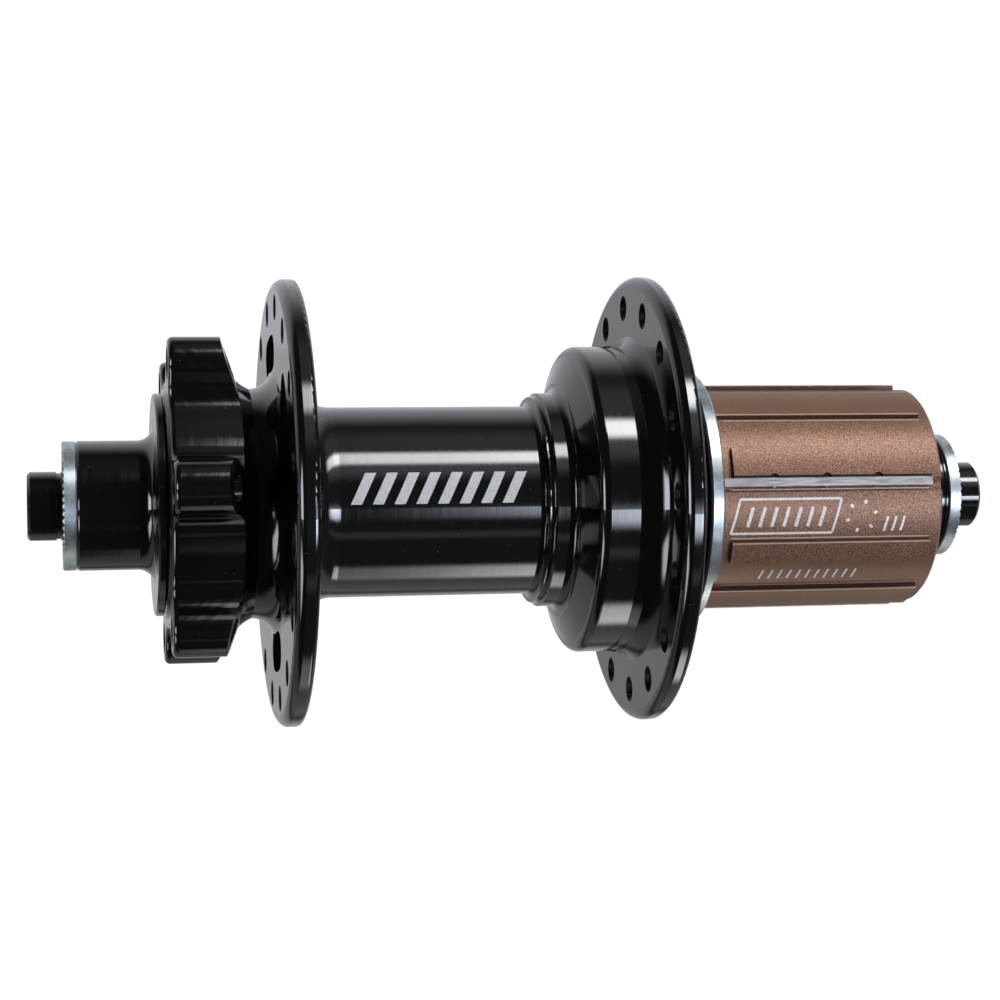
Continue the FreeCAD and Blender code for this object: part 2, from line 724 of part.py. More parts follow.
def dust_ring():
    """Steel ring between the shell and the cassette, with two shallow steps in its outer face."""
    blank = ring(CARRIAGE_R + 0.01, DUST_RING_R, DUST_RING_Y[0], DUST_RING_Y[1], 0.25)
    step = sector(17.5, 20.0, DUST_RING_Y[1] - 0.7, DUST_RING_Y[1] + 1, -80, -36)
    return blank.cut(Part.Compound(around(step, 2)))


def freehub_lip_seal():
    """Rubber lip that closes the gap between the shell's mouth and the dust ring."""
    return turned([
        (CARRIAGE_R + 0.01, 20.8),
        (17.3, 20.8),
        (17.3, 22.6),
        (18.3, 20.9),
        (18.9, 21.1),
        (17.9, 24.7),
        (CARRIAGE_R + 0.01, 24.7),
    ])


def freehub_circlip():
    """Internal spring clip that keeps the outer bearing in the freehub."""
    half_gap = 12.0
    low_y = CIRCLIP_Y[0] + 0.05
    high_y = CIRCLIP_Y[1] - 0.05
    seat_r = LARGE_BEARING["outer"]
    clip = sector(seat_r - 1.1, seat_r + 0.5, low_y, high_y, half_gap, 360.0 - half_gap)
    ears = []
    holes = []
    for side in (-1, 1):
        centre = polar(seat_r - 1.4, side * (half_gap + 5.0), low_y)
        ears.append(Part.makeCylinder(1.0, high_y - low_y, centre, V(0, 1, 0)))
        holes.append(Part.makeCylinder(0.5, high_y - low_y, centre, V(0, 1, 0)))
    return clip.fuse(ears).cut(Part.Compound(holes))


# ---- build ----
BEARINGS = {
    "left_bearing": (LARGE_BEARING, LEFT_BEARING_Y),
    "drive_bearing": (LARGE_BEARING, DRIVE_BEARING_Y),
    "freehub_inner_bearing": (SMALL_BEARING, INNER_FREEHUB_BEARING_Y),
    "freehub_outer_bearing": (LARGE_BEARING, OUTER_FREEHUB_BEARING_Y),
}


def main():
    os.makedirs("parts", exist_ok=True)
    export("hub_shell", hub_shell())
    export("axle_tube", axle_tube())
    export("left_end_cap", left_end_cap())
    export("right_end_cap", right_end_cap())
    export("freehub_dust_shield", freehub_dust_shield())
    export("left_serrated_washer", serrated_washer(-1))
    export("right_serrated_washer", serrated_washer(1))
    export("left_cap_o_ring", o_ring(-1))
    export("right_cap_o_ring", o_ring(1))

    for name, (bearing, centre_y) in BEARINGS.items():
        export(name + "_inner_race", inner_race(bearing, centre_y))
        export(name + "_outer_race", outer_race(bearing, centre_y))
        export(name + "_seals", bearing_seals(bearing, centre_y))
        export(name + "_balls", ball_ring(bearing, centre_y))
        export(name + "_cage", ball_cage(bearing, centre_y))

    spacer_r = 9.3
    drive_bearing_end = DRIVE_BEARING_Y + LARGE_BEARING["width"] / 2
    inner_bearing_start = INNER_FREEHUB_BEARING_Y - SMALL_BEARING["width"] / 2
    inner_bearing_end = INNER_FREEHUB_BEARING_Y + SMALL_BEARING["width"] / 2
    outer_bearing_start = OUTER_FREEHUB_BEARING_Y - LARGE_BEARING["width"] / 2
    bore_r = LARGE_BEARING["bore"]
    export("drive_bearing_spacer", ring(bore_r, 8.6, drive_bearing_end, inner_bearing_start, 0.2))
    export("freehub_bearing_spacer", ring(bore_r, 8.6, inner_bearing_end, outer_bearing_start, 0.2))

    export("ratchet_ring", ratchet_ring())
    for index in range(PAWLS):
        export("pawl_" + str(index + 1), pawl(PAWL_PHASE + index * 360.0 / PAWLS))
    export("pawl_springs", pawl_springs())

    export("freehub_body", freehub_body())
    export("guard_strips", guard_strips())
    export("strip_pins", Part.Compound(strip_pin_solids()))
    export("dust_ring", dust_ring())
    export("freehub_lip_seal", freehub_lip_seal())
    export("freehub_circlip", freehub_circlip())


main()
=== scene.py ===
import math

import bmesh
import bpy
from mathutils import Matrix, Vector


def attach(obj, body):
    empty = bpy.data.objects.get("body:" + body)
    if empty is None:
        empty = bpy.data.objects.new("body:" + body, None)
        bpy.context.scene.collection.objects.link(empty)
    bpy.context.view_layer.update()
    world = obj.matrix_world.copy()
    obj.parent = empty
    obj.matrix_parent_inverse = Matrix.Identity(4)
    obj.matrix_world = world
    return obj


# Looks of a bicycle rear disc hub. Metres; the wheel axis is Y, towards the drive side; Z is up.
# Angles about the axis are in degrees, from +X towards +Z.

MM = 0.001

# ---- the studio ----
CAMERA_PLACE = (0.33422, -0.06981, 0.02279)
CAMERA_AIM = (-0.9782, 0.1965, -0.0666)
CAMERA_LENS = 81.55
CAMERA_SENSOR = 36.0
FLOOR_Z = -0.0337
FLOOR_SIZE = 6.0
CAMERA_WHITE = 1.05

# The lights of the studio, seen from the hub. "turn" holds the angles about the wheel axis where a
# light begins, is full, starts to fade and has ended; "side" holds the same along Y, as the Y of the
# direction it is seen in.
EVERYWHERE = (-200.0, -190.0, 190.0, 200.0)
BOTH_SIDES = (-3.0, -2.0, 2.0, 3.0)
WHITE = (1.0, 1.0, 1.0)
COOL = (0.95, 0.98, 1.05)
BLUE = (0.86, 0.93, 1.08)
WARM = (1.02, 1.0, 0.96)
LIGHTS = (
    {"turn": EVERYWHERE, "side": BOTH_SIDES, "power": 0.035, "colour": WHITE},
    {"turn": EVERYWHERE, "side": (0.04, 0.15, 2.0, 3.0), "power": 0.07, "colour": WHITE},
    {"turn": (102.0, 134.0, 190.0, 200.0), "side": BOTH_SIDES, "power": 0.64, "colour": COOL},
    {"turn": (102.0, 134.0, 150.0, 182.0), "side": BOTH_SIDES, "power": 0.28, "colour": COOL},
    {"turn": (-200.0, -190.0, -152.0, -136.0), "side": BOTH_SIDES, "power": 0.50, "colour": WARM},
    {"turn": (-141.0, -129.0, -108.0, -94.0), "side": BOTH_SIDES, "power": 0.38, "colour": WARM},
    {"turn": (47.0, 54.0, 61.0, 68.0), "side": (0.065, 0.135, 0.6, 0.8), "power": 14.5, "colour": WHITE},
    {"turn": (47.0, 54.0, 61.0, 68.0), "side": (0.16, 0.25, 0.35, 0.5), "power": 7.0, "colour": WHITE},
    {"turn": (56.0, 72.0, 80.0, 108.0), "side": (-0.05, 0.2, 0.6, 0.8), "power": 0.42, "colour": COOL},
    {"turn": (26.0, 42.0, 50.0, 56.0), "side": (0.07, 0.14, 0.6, 0.8), "power": 0.9, "colour": BLUE},
    {"turn": (-21.0, -9.0, -9.0, 3.0), "side": (0.14, 0.36, 0.6, 0.8), "power": 22.0, "colour": BLUE},
    {"turn": (-44.0, -38.0, -36.0, -30.0), "side": (0.0, 0.15, 0.6, 0.8), "power": 0.4, "colour": COOL},
    {"turn": (-108.0, -98.0, -87.0, -77.0), "side": (0.0, 0.12, 0.27, 0.36), "power": 1.4, "colour": WARM},
    {"turn": (-108.0, -98.0, -87.0, -77.0), "side": (0.14, 0.22, 0.27, 0.36), "power": 4.4, "colour": WARM},
    {"turn": (-18.0, -6.0, 24.0, 38.0), "side": (-0.995, -0.97, -0.89, -0.80), "power": 12.0, "colour": COOL},
    {"turn": (-88.0, -72.0, -48.0, -36.0), "side": (-0.98, -0.95, -0.84, -0.74), "power": 8.0,
     "colour": WHITE},
)


# ---- the freehub's ribs, strips and milled zones, in degrees ----
RIB_PHASE = 9.0
RIB_PITCH = 40.0
RIB_WIDTH = 20.0
NARROW_RIB_START = RIB_PHASE - RIB_PITCH
NARROW_RIB_WIDTH = 11.5
STRIP_PITCH = 120.0
UPPER_MILLED = (48.8, 49.2, 69.0, 69.5)
LOWER_MILLED = (-72.0, -71.0, -32.0, -31.0)

# The distances from the wheel axis between which the spoke holes lie, in metres.
SPOKE_HOLE_BAND = (0.0266, 0.0268, 0.0312, 0.0314)


# ---- node helpers ----
class Graph:
    """A node tree, with short ways to add the nodes that the materials here use."""

    def __init__(self, tree):
        self.tree = tree
        tree.nodes.clear()

    def node(self, kind, **settings):
        made = self.tree.nodes.new(kind)
        for name, value in settings.items():
            setattr(made, name, value)
        return made

    def feed(self, socket, value):
        """Sets a socket to a number or colour, or links it to another node's output."""
        if isinstance(value, bpy.types.NodeSocket):
            self.tree.links.new(value, socket)
        else:
            socket.default_value = value

    def maths(self, operation, first, second=0.0):
        made = self.node("ShaderNodeMath", operation=operation)
        self.feed(made.inputs[0], first)
        self.feed(made.inputs[1], second)
        return made.outputs[0]

    def step(self, value, start, end, low=0.0, high=1.0):
        """Smooth step: low up to start, high from end."""
        made = self.node("ShaderNodeMapRange", interpolation_type="SMOOTHSTEP")
        self.feed(made.inputs["Value"], value)
        made.inputs["From Min"].default_value = start
        made.inputs["From Max"].default_value = end
        made.inputs["To Min"].default_value = low
        made.inputs["To Max"].default_value = high
        return made.outputs["Result"]

    def window(self, value, begin, full, fade, end):
        """One between full and fade, and zero before begin and after end."""
        return self.maths("MULTIPLY", self.step(value, begin, full), self.step(value, fade, end, 1.0, 0.0))

    def either(self, first, second):
        return self.maths("MAXIMUM", first, second)

    def mix(self, factor, first, second, blend="MIX"):
        made = self.node("ShaderNodeMix", data_type="RGBA", blend_type=blend, clamp_factor=False)
        self.feed(made.inputs[0], factor)
        self.feed(made.inputs[6], (*first, 1.0) if isinstance(first, tuple) else first)
        self.feed(made.inputs[7], (*second, 1.0) if isinstance(second, tuple) else second)
        return made.outputs[2]

    def noise(self, scale, detail=2.0, vector=None, along=None):
        """Noise in three dimensions of a vector, or in one dimension of a number."""
        made = self.node("ShaderNodeTexNoise", noise_dimensions="1D" if along else "3D")
        self.feed(made.inputs["W" if along else "Vector"], along or vector)
        made.inputs["Scale"].default_value = scale
        made.inputs["Detail"].default_value = detail
        return made.outputs["Fac"]

    def bump(self, height, depth, strength=1.0, normal=None):
        made = self.node("ShaderNodeBump")
        made.inputs["Strength"].default_value = strength
        made.inputs["Distance"].default_value = depth
        self.feed(made.inputs["Height"], height)
        if normal:
            self.feed(made.inputs["Normal"], normal)
        return made.outputs["Normal"]

    def coordinates(self, kind):
        return self.node("ShaderNodeTexCoord").outputs[kind]

    def split(self, vector):
        """The X, Y and Z of a vector."""
        made = self.node("ShaderNodeSeparateXYZ")
        self.feed(made.inputs[0], vector)
        return made.outputs

    def radius(self, parts):
        """A point's distance from the wheel axis."""
        across = self.maths("POWER", parts[0], 2.0)
        up = self.maths("POWER", parts[2], 2.0)
        return self.maths("SQRT", self.maths("ADD", across, up))

    def angle(self, parts):
        """A point's or direction's angle about the wheel axis, in degrees."""
        return self.maths("MULTIPLY", self.maths("ARCTAN2", parts[2], parts[0]), 180.0 / math.pi)


def surface(name, roughness=0.5, metallic=0.0, **sockets):
    """A material with its graph and its shader, linked to the output."""
    material = bpy.data.materials.new(name)
    material.use_nodes = True
    graph = Graph(material.node_tree)
    shader = graph.node("ShaderNodeBsdfPrincipled")
    output = graph.node("ShaderNodeOutputMaterial")
    graph.feed(output.inputs["Surface"], shader.outputs[0])
    shader.inputs["Roughness"].default_value = roughness
    shader.inputs["Metallic"].default_value = metallic
    for socket, value in sockets.items():
        shader.inputs[socket.replace("_", " ")].default_value = value
    return material, graph, shader


# ---- materials ----
def black_anodised():
    """Gloss black anodising over turned aluminium: fine lines round the axis, a few dust specks.

    The walls of the spoke holes are duller.
    """
    material, graph, shader = surface("black_anodised", IOR=1.5)
    point = graph.coordinates("Object")
    parts = graph.split(point)
    radius = graph.radius(parts)
    turned = graph.maths("ADD", parts[1], radius)
    lines = graph.noise(5200.0, 3.0, along=turned)
    bands = graph.noise(900.0, 2.0, along=turned)
    cloud = graph.noise(90.0, 3.0, vector=point)
    specks = graph.step(graph.noise(2400.0, 1.0, vector=point), 0.79, 0.83)
    base = graph.mix(cloud, (0.0014, 0.0014, 0.0016), (0.0034, 0.0034, 0.0038))
    graph.feed(shader.inputs["Base Color"], graph.mix(specks, base, (0.10, 0.10, 0.10)))
    facing = graph.split(graph.node("ShaderNodeNewGeometry").outputs["True Normal"])
    sideways = graph.step(graph.maths("ABSOLUTE", facing[1]), 0.75, 0.85, 1.0, 0.0)
    hole = graph.maths("MULTIPLY", sideways, graph.window(radius, *SPOKE_HOLE_BAND))
    rough = graph.maths("ADD", graph.step(lines, 0.3, 0.7, 0.05, 0.09),
                        graph.step(bands, 0.4, 0.7, 0.0, 0.04))
    graph.feed(shader.inputs["Roughness"], graph.maths("ADD", rough, graph.step(hole, 0.0, 1.0, 0.0, 0.3)))
    graph.feed(shader.inputs["Specular IOR Level"], graph.step(hole, 0.0, 1.0, 0.5, 0.06))
    coarse = graph.bump(bands, 2.4e-6)
    graph.feed(shader.inputs["Normal"], graph.bump(lines, 2.0e-6, normal=coarse))
    return material


def bronze_anodised():
    """Bead-blasted aluminium with a bronze anodising: sparkling grain, milled and turned zones
    that are smoother, painted highlights along the rib edges and feet, and painted shade in the corners, on
    the rib walls and in the notches."""
    material, graph, shader = surface("bronze_anodised", metallic=0.35, IOR=1.4)
    point = graph.coordinates("Object")
    parts = graph.split(point)
    radius = graph.radius(parts)
    turned = graph.maths("ADD", parts[1], radius)
    angle = graph.angle(parts)
    grain = graph.noise(5600.0, 2.0, vector=point)
    fine = graph.noise(15000.0, 1.0, vector=point)
    lines = graph.noise(3800.0, 3.0, along=turned)
    cloud = graph.noise(120.0, 3.0, vector=point)
    milled = graph.maths("ADD", graph.window(angle, *UPPER_MILLED), graph.window(angle, *LOWER_MILLED))
    grainy = graph.step(milled, 0.0, 1.0, 1.0, 0.22)
    sparkle = graph.maths("MULTIPLY", graph.step(grain, 0.36, 0.64, -0.5, 0.5), grainy)
    base = graph.mix(graph.maths("ADD", sparkle, 0.5), (0.082, 0.034, 0.0165), (0.275, 0.152, 0.098))
    base = graph.mix(graph.step(cloud, 0.35, 0.7, 0.0, 0.25), base, (0.118, 0.064, 0.041))

    # Where a point lies beside the ribs: its angle past the start of the rib below it.
    past = graph.maths("FLOORED_MODULO", graph.maths("SUBTRACT", angle, RIB_PHASE), RIB_PITCH)
    narrow = graph.window(angle, NARROW_RIB_START - 0.01, NARROW_RIB_START, RIB_PHASE - 0.01, RIB_PHASE)
    width = graph.step(narrow, 0.0, 1.0, RIB_WIDTH, NARROW_RIB_WIDTH)
    beyond = graph.maths("SUBTRACT", past, width)
    land = graph.step(radius, 0.01705, 0.01712)
    root = graph.step(radius, 0.01646, 0.01655, 1.0, 0.0)
    above = graph.step(parts[2], -0.0005, 0.0005)
    below = graph.maths("SUBTRACT", 1.0, above)
    # Painted highlights: pale lines on the rib lands' edges and on the root just past the walls' feet. They
    # are drawn only on the wall that faces the front light: the lower wall of ribs above the axis and the
    # upper wall of ribs below it.
    start_edge = graph.window(past, -0.1, 0.0, 0.5, 0.8)
    end_edge = graph.window(beyond, -0.8, -0.5, 0.0, 0.1)
    start_foot = graph.window(past, 38.1, 38.4, 38.9, 39.2)
    end_foot = graph.window(beyond, 0.8, 1.1, 1.6, 1.9)
    painted_edge_highlights = graph.maths("MULTIPLY", land, graph.either(graph.maths("MULTIPLY", above, start_edge),
                                                       graph.maths("MULTIPLY", below, end_edge)))
    beside = graph.maths("MULTIPLY", root, graph.window(parts[1], 0.0286, 0.0290, 0.0595, 0.0598))
    painted_foot_highlights = graph.maths("MULTIPLY", beside, graph.either(graph.maths("MULTIPLY", above, start_foot),
                                                        graph.maths("MULTIPLY", below, end_foot)))
    # Painted shade: the root beside each rib wall and the walls themselves are darkened where the ribs' shade
    # falls.
    corner = graph.maths("MULTIPLY", beside, graph.either(graph.window(past, 38.9, 39.3, 41.0, 42.0),
                                                          graph.window(beyond, -0.3, 0.0, 0.7, 2.1)))
    walls = graph.window(radius, 0.01640, 0.01652, 0.01705, 0.01712)
    painted_shade = graph.maths("MULTIPLY", graph.either(corner, walls), 0.72)
    base = graph.mix(painted_shade, base, (0.014, 0.006, 0.003))
    # The painted highlight colour goes over the base along those edges and feet.
    base = graph.mix(graph.maths("MULTIPLY", graph.either(painted_edge_highlights, painted_foot_highlights), 0.75), base, (0.60, 0.42, 0.32))

    # The dark joint along each steel strip, and painted shade inside the notches beside it.
    strip_past = graph.maths("FLOORED_MODULO", graph.maths("SUBTRACT", angle, RIB_PHASE), STRIP_PITCH)
    joint = graph.maths("MULTIPLY", graph.window(strip_past, 4.0, 4.1, 5.2, 5.6), land)
    notch = graph.maths("MULTIPLY", graph.window(strip_past, 4.0, 4.1, 8.0, 8.2), walls)
    painted_notch_shade = graph.maths("MULTIPLY", notch, graph.step(parts[1], 0.0290, 0.0295))
    base = graph.mix(graph.either(joint, painted_notch_shade), base, (0.002, 0.0015, 0.0015))

    graph.feed(shader.inputs["Base Color"], base)
    graph.feed(shader.inputs["Roughness"], graph.step(fine, 0.3, 0.7, 0.35, 0.50))
    blasted = graph.bump(graph.maths("MULTIPLY", grain, grainy), 2.2e-5)
    graph.feed(shader.inputs["Normal"], graph.bump(lines, 1.5e-6, normal=blasted))
    return material


def turned_steel(name, dark, light, roughness, depth=1.5e-6):
    """Bare or plated metal with fine turning lines and a faint cloudiness."""
    material, graph, shader = surface(name, metallic=1.0)
    point = graph.coordinates("Object")
    parts = graph.split(point)
    turned = graph.maths("ADD", parts[1], graph.radius(parts))
    lines = graph.noise(6500.0, 4.0, along=turned)
    cloud = graph.noise(500.0, 4.0, vector=point)
    graph.feed(shader.inputs["Base Color"], graph.mix(graph.step(cloud, 0.3, 0.7), dark, light))
    graph.feed(shader.inputs["Roughness"], graph.step(lines, 0.3, 0.7, roughness - 0.06, roughness + 0.08))
    graph.feed(shader.inputs["Normal"], graph.bump(lines, depth))
    return material


def brushed_strip():
    """Steel strip brushed along the axis."""
    material, graph, shader = surface("brushed_strip", metallic=1.0)
    point = graph.coordinates("Object")
    stretch = graph.node("ShaderNodeMapping")
    graph.feed(stretch.inputs["Vector"], point)
    stretch.inputs["Scale"].default_value = (1.0, 0.04, 1.0)
    lines = graph.noise(9000.0, 3.0, vector=stretch.outputs[0])
    graph.feed(shader.inputs["Base Color"], graph.mix(lines, (0.26, 0.245, 0.235), (0.58, 0.555, 0.54)))
    graph.feed(shader.inputs["Roughness"], graph.step(lines, 0.3, 0.7, 0.30, 0.46))
    graph.feed(shader.inputs["Normal"], graph.bump(lines, 3e-6))
    return material


def moulded(name, dark, light, roughness):
    """Rubber or nylon: matte, with a fine moulded grain."""
    material, graph, shader = surface(name)
    point = graph.coordinates("Object")
    grain = graph.noise(2600.0, 3.0, vector=point)
    graph.feed(shader.inputs["Base Color"], graph.mix(grain, dark, light))
    graph.feed(shader.inputs["Roughness"], graph.step(grain, 0.3, 0.7, roughness - 0.08, roughness + 0.08))
    graph.feed(shader.inputs["Normal"], graph.bump(grain, 6e-6))
    return material


def marking_ink(name, dark, light):
    """Laser marking: pale, matte and slightly broken up by the surface below."""
    material, graph, shader = surface(name)
    point = graph.coordinates("Object")
    grain = graph.noise(5200.0, 2.0, vector=point)
    graph.feed(shader.inputs["Base Color"], graph.mix(graph.step(grain, 0.3, 0.6), dark, light))
    graph.feed(shader.inputs["Roughness"], graph.step(grain, 0.3, 0.7, 0.45, 0.65))
    graph.feed(shader.inputs["Normal"], graph.bump(grain, 4e-6))
    return material


def assign(thing, material):
    """Gives an object one material in all its slots."""
    if not thing.data.materials:
        thing.data.materials.append(material)
    for index in range(len(thing.data.materials)):
        thing.data.materials[index] = material


# ---- meshes ----
def on_axis(radius, angle, y):
    turn = math.radians(angle)
    return Vector((radius * math.cos(turn), y, radius * math.sin(turn)))


def mesh_object(name, verts, faces, material, body, smooth=False):
    """A closed mesh in the model's own coordinates, riding on a body."""
    mesh = bpy.data.meshes.new(name)
    mesh.from_pydata(verts, [], faces)
    made = bmesh.new()
    made.from_mesh(mesh)
    bmesh.ops.recalc_face_normals(made, faces=made.faces)
    made.to_mesh(mesh)
    made.free()
    for polygon in mesh.polygons:
        polygon.use_smooth = smooth
    thing = bpy.data.objects.new(name, mesh)
    bpy.context.scene.collection.objects.link(thing)
    assign(thing, material)
    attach(thing, body)
    return thing


def curved_patches(patches, radius, thickness, step=2.0):
    """Thin closed plates bent round the axis. Each patch is four (y, angle) corners, in order.

    The first two corners are its start edge and the last two its end edge, walked back.
    """
    verts = []
    faces = []
    for low_start, high_start, high_end, low_end in patches:
        widest = max(abs(high_start[1] - low_start[1]), abs(high_end[1] - low_end[1]))
        rows = max(1, math.ceil(widest / step))
        spread = max(abs(low_end[1] - low_start[1]), abs(high_end[1] - high_start[1]))
        columns = max(1, math.ceil(spread / step))
        first = len(verts)
        for shell in (radius, radius + thickness):
            for column in range(columns + 1):
                along = column / columns
                for row in range(rows + 1):
                    up = row / rows
                    start = [low_start[k] + (high_start[k] - low_start[k]) * up for k in (0, 1)]
                    end = [low_end[k] + (high_end[k] - low_end[k]) * up for k in (0, 1)]
                    y, angle = [start[k] + (end[k] - start[k]) * along for k in (0, 1)]
                    verts.append(on_axis(shell * MM, angle, y * MM))
        layer = (columns + 1) * (rows + 1)

        def corner(column, row, top):
            return first + top * layer + column * (rows + 1) + row

        for column in range(columns):
            for row in range(rows):
                for top in (0, 1):
                    faces.append([corner(column, row, top), corner(column + 1, row, top),
                                  corner(column + 1, row + 1, top), corner(column, row + 1, top)])
            for row in (0, rows):
                faces.append([corner(column, row, 0), corner(column + 1, row, 0),
                              corner(column + 1, row, 1), corner(column, row, 1)])
        for row in range(rows):
            for column in (0, columns):
                faces.append([corner(column, row, 0), corner(column, row + 1, 0),
                              corner(column, row + 1, 1), corner(column, row, 1)])
    return verts, faces


def stroke(start, end, width, radius):
    """A straight line of some width on a cylinder, from one (y, angle) point to another, in mm."""
    arc = radius * math.radians(1.0)
    along = Vector((end[0] - start[0], (end[1] - start[1]) * arc))
    side = Vector((-along.y, along.x)).normalized() * width / 2

    def moved(point, sign):
        return (point[0] + sign * side.x, point[1] + sign * side.y / arc)

    return (moved(start, -1), moved(start, 1), moved(end, 1), moved(end, -1))


def lathe(profile, centre, segments):
    """Closed ring from a closed outline of (radius, y) points, in mm, about an axis along Y."""
    verts = []
    faces = []
    for index in range(segments):
        angle = 360.0 * index / segments
        for radius, y in profile:
            verts.append(on_axis(radius * MM, angle, y * MM) + centre)
    count = len(profile)
    for index in range(segments):
        here = index * count
        there = (index + 1) % segments * count
        for k in range(count):
            after = (k + 1) % count
            faces.append([here + k, here + after, there + after, there + k])
    return verts, faces


def thread_profile(major, depth, start, end, pitch, inset):
    """Outline of a thread in a bore: a thin wall behind a row of teeth."""
    turns = int((end - start) / pitch)
    points = [(major - inset, start), (major - inset, start + turns * pitch)]
    for index in reversed(range(turns)):
        foot = start + index * pitch
        points += [(major - inset - 0.02, foot + 0.92 * pitch),
                   (major - depth, foot + 0.58 * pitch),
                   (major - depth, foot + 0.42 * pitch),
                   (major - inset - 0.02, foot + 0.08 * pitch)]
    return points


# ---- the model ----
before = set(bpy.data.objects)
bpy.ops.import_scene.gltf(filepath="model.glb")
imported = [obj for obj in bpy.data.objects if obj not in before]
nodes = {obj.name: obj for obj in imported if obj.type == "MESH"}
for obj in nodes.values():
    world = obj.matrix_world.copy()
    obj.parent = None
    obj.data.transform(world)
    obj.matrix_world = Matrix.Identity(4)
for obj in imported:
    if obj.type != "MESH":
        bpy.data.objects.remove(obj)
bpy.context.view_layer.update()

BEARINGS = ("left_bearing", "drive_bearing", "freehub_inner_bearing", "freehub_outer_bearing")
black = black_anodised()
bronze = bronze_anodised()
zinc = turned_steel("zinc_plating", (0.27, 0.31, 0.325), (0.47, 0.515, 0.535), 0.36, 0.8e-6)
aluminium = turned_steel("plain_aluminium", (0.62, 0.62, 0.64), (0.78, 0.78, 0.80), 0.30)
hardened = turned_steel("hardened_steel", (0.26, 0.26, 0.27), (0.40, 0.40, 0.41), 0.32)
polished = turned_steel("bearing_steel", (0.66, 0.66, 0.67), (0.78, 0.78, 0.79), 0.14, 0.4e-6)
strip = brushed_strip()
rubber = moulded("black_rubber", (0.010, 0.010, 0.010), (0.030, 0.030, 0.030), 0.6)
nylon = moulded("cage_nylon", (0.55, 0.50, 0.40), (0.75, 0.70, 0.58), 0.5)
shell_ink = marking_ink("pale_marking", (0.30, 0.30, 0.30), (0.46, 0.46, 0.455))
freehub_ink = marking_ink("freehub_marking", (0.42, 0.39, 0.365), (0.72, 0.70, 0.675))

finishes = {
    "hub_shell": black,
    "left_end_cap": black,
    "right_end_cap": black,
    "left_serrated_washer": zinc,
    "right_serrated_washer": zinc,
    "dust_ring": zinc,
    "freehub_dust_shield": zinc,
    "freehub_body": bronze,
    "guard_strips": strip,
    "strip_pins": hardened,
    "axle_tube": aluminium,
    "drive_bearing_spacer": aluminium,
    "freehub_bearing_spacer": aluminium,
    "ratchet_ring": hardened,
    "pawl_springs": hardened,
    "freehub_circlip": hardened,
    "left_cap_o_ring": rubber,
    "right_cap_o_ring": rubber,
    "freehub_lip_seal": rubber,
}
for number in range(1, 7):
    finishes["pawl_" + str(number)] = hardened
for bearing in BEARINGS:
    finishes[bearing + "_inner_race"] = polished
    finishes[bearing + "_outer_race"] = polished
    finishes[bearing + "_balls"] = polished
    finishes[bearing + "_seals"] = rubber
    finishes[bearing + "_cage"] = nylon
for name, material in finishes.items():
    assign(nodes[name], material)

# ---- plain markings ----
BARREL_R = 14.13
ROOT_R = 16.4
INK_MM = 0.02
INK_LIFT = 0.004

# A row of slanted bars on the barrel.
bars = []
for index in range(8):
    start = -27.2 + index * 3.15
    bars.append(((start, 2.4), (start + 2.2, 21.0), (start + 3.8, 21.0), (start + 1.6, 2.4)))
verts, faces = curved_patches(bars, BARREL_R + INK_LIFT, INK_MM)
mesh_object("barrel_marking", verts, faces, shell_ink, "shell")

# An outlined slanted panel with short bars in it, a ring of ticks, and three short bars.
LINE = 0.36
panel = [(30.0, 2.6), (45.6, 2.6), (44.3, -15.4), (28.7, -15.4)]
lines = [stroke(a, b, LINE, ROOT_R) for a, b in zip(panel, panel[1:] + panel[:1])]
for index in range(7):
    foot = 31.2 + index * 1.85
    lines.append(stroke((foot, -11.8), (foot + 0.75, -1.6), 0.5, ROOT_R))
DIAL = (48.8, -6.8)
TICK_ENDS = (1.9, 2.5)
MM_PER_DEGREE = ROOT_R * math.radians(1.0)
for index in range(6):
    turn = math.radians(index * 60.0 + 15.0)
    ends = [(DIAL[0] + r * math.cos(turn), DIAL[1] + r * math.sin(turn) / MM_PER_DEGREE) for r in TICK_ENDS]
    lines.append(stroke(ends[0], ends[1], 0.42, ROOT_R))
for index in range(3):
    foot = 52.4 + index * 1.3
    lines.append(stroke((foot, -15.0), (foot + 0.55, -7.2), LINE, ROOT_R))
for index in range(11):
    foot = 34.3 + index * 1.45
    lines.append(stroke((foot, -44.2), (foot + 0.4, -38.0), 0.30, ROOT_R))
verts, faces = curved_patches(lines, ROOT_R + INK_LIFT, INK_MM)
mesh_object("freehub_marking", verts, faces, freehub_ink, "freehub")

# ---- threads ----
# The rotor holes' M5 threads, and the thread that takes the cassette lockring.
ROTOR_CIRCLE_R = 22.0
ROTOR_HOLE_PHASE = 10.0
THREAD_INSET = 0.01
M5_THREAD = {"major": 2.1, "depth": 0.34, "start": -52.1, "end": -44.9, "pitch": 0.8}
LOCKRING_THREAD = {"major": 14.7, "depth": 0.5, "start": 54.9, "end": 60.9, "pitch": 1.0}
m5 = thread_profile(**M5_THREAD, inset=THREAD_INSET)
for index in range(6):
    centre = on_axis(ROTOR_CIRCLE_R * MM, ROTOR_HOLE_PHASE + index * 60.0, 0.0)
    verts, faces = lathe(m5, centre, 40)
    mesh_object("rotor_thread_" + str(index + 1), verts, faces, black, "shell")
lockring = thread_profile(**LOCKRING_THREAD, inset=THREAD_INSET)
verts, faces = lathe(lockring, Vector((0, 0, 0)), 180)
mesh_object("lockring_thread", verts, faces, bronze, "freehub")


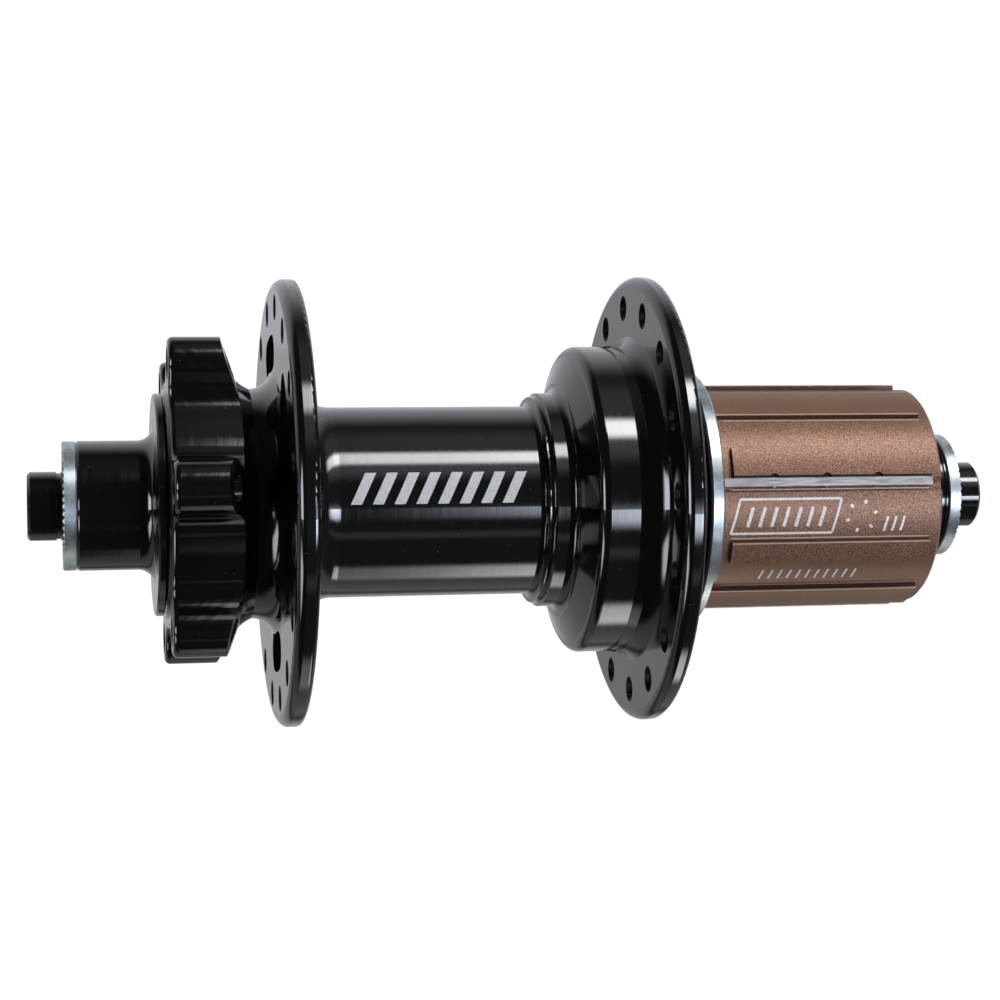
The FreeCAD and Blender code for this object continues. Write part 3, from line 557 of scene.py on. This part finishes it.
# ---- studio ----
def studio_world():
    """Softboxes, backdrop and dark room as a light that depends only on direction."""
    world = bpy.data.worlds.new("studio")
    bpy.context.scene.world = world
    world.use_nodes = True
    graph = Graph(world.node_tree)
    parts = graph.split(graph.coordinates("Generated"))
    angle = graph.angle(parts)
    total = (0.0, 0.0, 0.0)
    for light in LIGHTS:
        seen = graph.window(angle, *light["turn"])
        strength = graph.maths("MULTIPLY", seen, graph.window(parts[1], *light["side"]))
        power = graph.maths("MULTIPLY", strength, light["power"])
        total = graph.mix(power, total, light["colour"], "ADD")
    studio = graph.node("ShaderNodeBackground")
    graph.feed(studio.inputs["Color"], total)
    white = graph.node("ShaderNodeBackground")
    white.inputs["Color"].default_value = (CAMERA_WHITE, CAMERA_WHITE, CAMERA_WHITE, 1.0)
    choice = graph.node("ShaderNodeMixShader")
    graph.feed(choice.inputs[0], graph.node("ShaderNodeLightPath").outputs["Is Camera Ray"])
    graph.feed(choice.inputs[1], studio.outputs[0])
    graph.feed(choice.inputs[2], white.outputs[0])
    output = graph.node("ShaderNodeOutputWorld")
    graph.feed(output.inputs["Surface"], choice.outputs[0])


def studio_floor():
    """A plain white sweep under the hub that only the camera sees."""
    material = bpy.data.materials.new("studio_floor")
    material.use_nodes = True
    graph = Graph(material.node_tree)
    glow = graph.node("ShaderNodeEmission")
    glow.inputs["Color"].default_value = (1.0, 1.0, 1.0, 1.0)
    glow.inputs["Strength"].default_value = CAMERA_WHITE
    output = graph.node("ShaderNodeOutputMaterial")
    graph.feed(output.inputs["Surface"], glow.outputs[0])
    half = FLOOR_SIZE / 2
    mesh = bpy.data.meshes.new("studio_floor")
    corners = [(-half, -half, FLOOR_Z), (half, -half, FLOOR_Z), (half, half, FLOOR_Z), (-half, half, FLOOR_Z)]
    mesh.from_pydata(corners, [], [(0, 1, 2, 3)])
    floor = bpy.data.objects.new("studio_floor", mesh)
    bpy.context.scene.collection.objects.link(floor)
    floor.data.materials.append(material)
    floor.visible_diffuse = False
    floor.visible_glossy = False
    floor.visible_transmission = False
    floor.visible_shadow = False


def studio_camera():
    camera = bpy.data.cameras.new("camera")
    camera.lens = CAMERA_LENS
    camera.sensor_width = CAMERA_SENSOR
    camera.clip_start = 0.01
    holder = bpy.data.objects.new("camera", camera)
    holder.location = CAMERA_PLACE
    holder.rotation_euler = Vector(CAMERA_AIM).to_track_quat("-Z", "Y").to_euler()
    bpy.context.scene.collection.objects.link(holder)
    bpy.context.scene.camera = holder


studio_world()
studio_floor()
studio_camera()
bpy.context.scene.view_settings.view_transform = "Standard"
